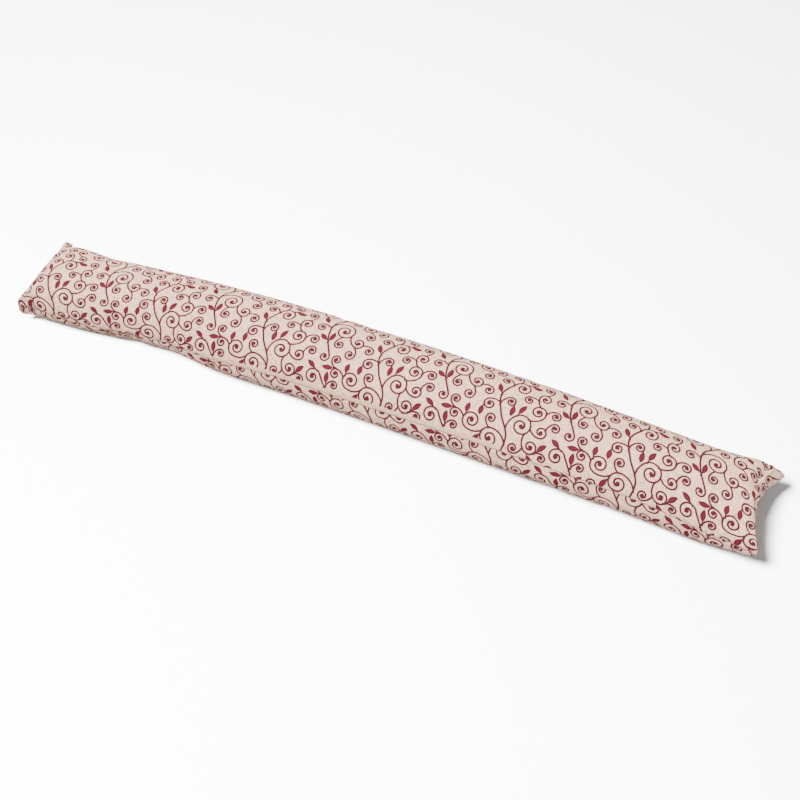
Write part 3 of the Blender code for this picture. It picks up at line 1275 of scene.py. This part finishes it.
@dataclass
class FilledCover:
    """The sewn and filled linen cover, the object's only piece."""

    form: TubeForm = field(default_factory=TubeForm)
    finish: LinenFinish = field(default_factory=LinenFinish)
    settle: ClothSettle = field(default_factory=ClothSettle)
    detail: SewnDetail = field(default_factory=SewnDetail)
    slip: float = 11.0
    print_start: tuple = (12.0, 30.0)
    print_scale: float = 1.1
    bake_map: str = "OFBake"
    strip_gap: float = 6.0

    def cloth_corners(self, rows: int, columns: int, length: float, girth: float) -> np.ndarray:
        """The place on the cloth of each face's corners, in millimetres.

        The cloth lies a little askew, so the place along it grows by slip once round. A
        face of an end cap carries on past the end.
        """
        row, column = np.meshgrid(np.arange(rows), np.arange(columns), indexing="ij")
        u = np.stack((row, row + 1, row + 1, row), axis=-1).reshape(-1, 4) / rows - 0.5
        v = np.stack((column, column, column + 1, column + 1), axis=-1).reshape(-1, 4) / columns
        half = np.arange(columns // 2)
        cap_v = np.stack((half, half + 1, half + 1, half), axis=-1) / columns
        past = self.form.hem / length
        cap_u = np.array((0.5, 0.5, 0.5 + past, 0.5 + past))[None] + 0 * cap_v
        u = np.concatenate((u, -cap_u, cap_u[:, ::-1]))
        v = np.concatenate((v, cap_v, cap_v[:, ::-1]))
        return np.stack((MM * length * u + self.slip * v, MM * girth * v), axis=-1)

    def build(self) -> bpy.types.Object:
        """Make the cover's mesh and dress it."""
        grid = ClothGrid(self.form)
        rows, columns = 2 * self.settle.rows, 2 * self.settle.columns
        length, girth = grid.surface_length(), grid.girth
        points = grid.points(rows, columns)
        coarse = grid.points(self.settle.rows, self.settle.columns)
        points = points + finer(self.settle.puckers(coarse, length, girth))
        share = np.arange(rows + 1) / rows
        from_end = MM * length * np.minimum(share, 1 - share)
        points = self.detail.shape(points, from_end, MM * girth * np.arange(columns) / columns)
        points[..., 2] = np.maximum(points[..., 2], 0.0)

        mesh = mesh_of("linen_cover", points, tube_faces(rows, columns))
        mesh.shade_smooth()
        corners = self.cloth_corners(rows, columns, length, girth)
        self.write_map(mesh, self.finish.map_name, corners)
        self.write_map(mesh, self.bake_map, self.strips(corners, rows, columns, girth))
        self.write_bits(mesh, corners.mean(axis=1))
        cover = bpy.data.objects.new("linen_cover", mesh)
        bpy.context.scene.collection.objects.link(cover)
        mesh.materials.append(self.finish.material())
        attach(cover, "root")
        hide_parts("filled_cover")
        return cover

    def strips(self, corners: np.ndarray, rows: int, columns: int, girth: float) -> np.ndarray:
        """Lay the left and the right half of the cloth one above the other in a square.

        Args:
            corners: the place on the cloth of each face's corners, in millimetres.
            rows: the rows of faces along the cover.
            columns: the faces round it.
            girth: the length round it, in metres.

        Returns:
            The corners' places in the square, from 0 to 1.
        """
        row, cap = np.arange(rows * columns) // columns, np.arange(columns // 2)
        right = np.concatenate((row >= rows // 2, 0 * cap > 0, 0 * cap == 0)).astype(float)[:, None]
        tall = MM * girth + self.strip_gap
        v = corners[..., 1]
        u = corners[..., 0] - self.slip * v / (MM * girth)
        across = (u - u.min() * (1 - right) + self.strip_gap / 2) / (2 * tall)
        up = (v + right * tall + self.strip_gap / 2) / (2 * tall)
        return np.stack((across, up), axis=-1)

    @staticmethod
    def write_map(mesh: bpy.types.Mesh, name: str, corners: np.ndarray) -> None:
        """Write a UV map from the four corners of each face, leaving out a doubled corner."""
        sizes = np.empty(len(mesh.polygons), int)
        mesh.polygons.foreach_get("loop_total", sizes)
        kept = np.ones(corners.shape[:2], bool)
        kept[sizes == 3, 3] = False
        layer = mesh.uv_layers.new(name=name)
        layer.uv.foreach_set("vector", corners[kept].astype(np.float32).ravel())

    def write_bits(self, mesh: bpy.types.Mesh, middles: np.ndarray) -> None:
        """Give each face the bits of the print that pass by it.

        A place on the chart is (place on the cloth + shift) / scale.
        """
        chart = PrintChart(ScrollVine().grow(), self.finish.bits)
        shift, scale = np.array(self.print_start), self.print_scale
        rings, inks = chart.look_up((middles + shift) / scale)
        rings *= scale
        rings[..., :2] -= shift
        inks[..., 2] = inks[..., 2] * scale + (inks[..., :2] * shift).sum(axis=-1)
        for number in range(self.finish.bits):
            for name, values in (("ring", rings), ("ink", inks)):
                layer = mesh.attributes.new(f"{name}_{number}", "FLOAT_VECTOR", "FACE")
                layer.data.foreach_set("vector", values[:, number].astype(np.float32).ravel())


class Shines(Enum):
    """What a lamp lights, by the name of the piece."""

    ON_COVER = "linen_cover"
    ON_FLOOR = "floor"


@dataclass(frozen=True)
class Lamp:
    """A square soft lamp that faces the tube's middle.

    Its swing is how far it stands to the right of the camera and above it, in degrees.
    """

    name: str
    swing: tuple
    distance: float
    size: float
    watts: float
    shines_on: Shines
    colour: tuple = (1.0, 1.0, 1.0)


@dataclass
class Studio:
    """Pale floor, soft lights and the camera at the photograph's angle."""

    focal_pixels: float = 1119.0
    frame_pixels: float = 800.0
    sensor: float = 36.0
    elevation: float = 50.73
    azimuth: float = 25.13
    roll: float = -1.79
    distance: float = 1.2621
    target: tuple = (0.036, -0.0107, 0.03)
    floor_colour: tuple = (0.93, 0.93, 0.93, 1.0)
    floor_reach: float = 6.0
    room_light: float = 0.40
    lamps: tuple = (
        Lamp("fill", (16.0, -14.0), 2.2, 1.2, 100.0, Shines.ON_COVER, (1.0, 0.89, 0.86)),
        Lamp("key", (-38.0, 26.0), 2.2, 0.5, 92.0, Shines.ON_COVER, (1.0, 0.89, 0.86)),
        Lamp("far_side", (10.0, 80.0), 2.4, 1.4, 115.0, Shines.ON_COVER, (1.0, 0.89, 0.86)),
        Lamp("floor_wash", (-25.0, 21.0), 2.4, 0.6, 800.0, Shines.ON_FLOOR),
    )

    def axes(self) -> tuple:
        """The directions back to the camera, to its right and up across its view."""
        e, a = math.radians(self.elevation), math.radians(self.azimuth)
        back = Vector((math.sin(a) * math.cos(e), -math.cos(a) * math.cos(e), math.sin(e)))
        right = Vector((math.cos(a), math.sin(a), 0.0))
        return back, right, back.cross(right)

    def build_camera(self) -> bpy.types.Object:
        """Set the camera up.

        It stands at target + distance * back, where back leans up by the elevation and round
        by the azimuth, and is then rolled about its own axis.
        """
        back, right, up = self.axes()
        c = math.radians(self.roll)
        across = math.cos(c) * right + math.sin(c) * up
        upward = -math.sin(c) * right + math.cos(c) * up
        lens = bpy.data.cameras.new("camera")
        lens.sensor_width = self.sensor
        lens.lens = self.focal_pixels * self.sensor / self.frame_pixels
        camera = bpy.data.objects.new("camera", lens)
        turned = Matrix((across, upward, back)).transposed().to_4x4()
        camera.matrix_world = Matrix.Translation(Vector(self.target) + self.distance * back) @ turned
        bpy.context.scene.collection.objects.link(camera)
        bpy.context.scene.camera = camera
        return camera

    def build_floor(self) -> bpy.types.Object:
        """Lay a wide pale floor just under the tube, which throws no light back up at it."""
        corners = ((-1, -1, 0), (1, -1, 0), (1, 1, 0), (-1, 1, 0))
        points = self.floor_reach * np.array(corners, float)
        floor = bpy.data.objects.new("floor", mesh_of("floor", points, np.array([[0, 1, 2, 3]])))
        bpy.context.scene.collection.objects.link(floor)
        floor.visible_diffuse = False
        shader = Shader("pale_floor")
        floor.data.materials.append(shader.finish(base_color=self.floor_colour, roughness=0.9))
        return floor

    def build_lights(self) -> None:
        """Hang the lamps in an even white room, each of them over the one piece it lights."""
        room = bpy.data.worlds.new("room")
        room.use_nodes = True
        room.node_tree.nodes["Background"].inputs["Color"].default_value = (1, 1, 1, 1)
        room.node_tree.nodes["Background"].inputs["Strength"].default_value = self.room_light
        bpy.context.scene.world = room
        back, right, up = self.axes()
        for lamp in self.lamps:
            light = bpy.data.lights.new(lamp.name, "AREA")
            light.shape = "SQUARE"
            light.size = lamp.size
            light.energy = lamp.watts
            light.color = lamp.colour
            piece = bpy.data.objects.new(lamp.name, light)
            swing, lift = (math.tan(math.radians(angle)) for angle in lamp.swing)
            towards = (back + swing * right + lift * up).normalized()
            turned = towards.to_track_quat("Z", "Y").to_matrix().to_4x4()
            piece.matrix_world = Matrix.Translation(lamp.distance * towards) @ turned
            bpy.context.scene.collection.objects.link(piece)
            lit = bpy.data.collections.new(f"lit_by_{lamp.name}")
            lit.objects.link(bpy.data.objects[lamp.shines_on.value])
            piece.light_linking.receiver_collection = lit


def main() -> None:
    """Build the studio and the cover, and note the sizes."""
    logging.basicConfig(level=logging.INFO, format="%(name)s: %(message)s")
    studio = Studio()
    studio.build_camera()
    studio.build_floor()
    cover = FilledCover().build()
    studio.build_lights()
    log.info("%s has %d faces", cover.name, len(cover.data.polygons))


if __name__ == "__main__":
    main()
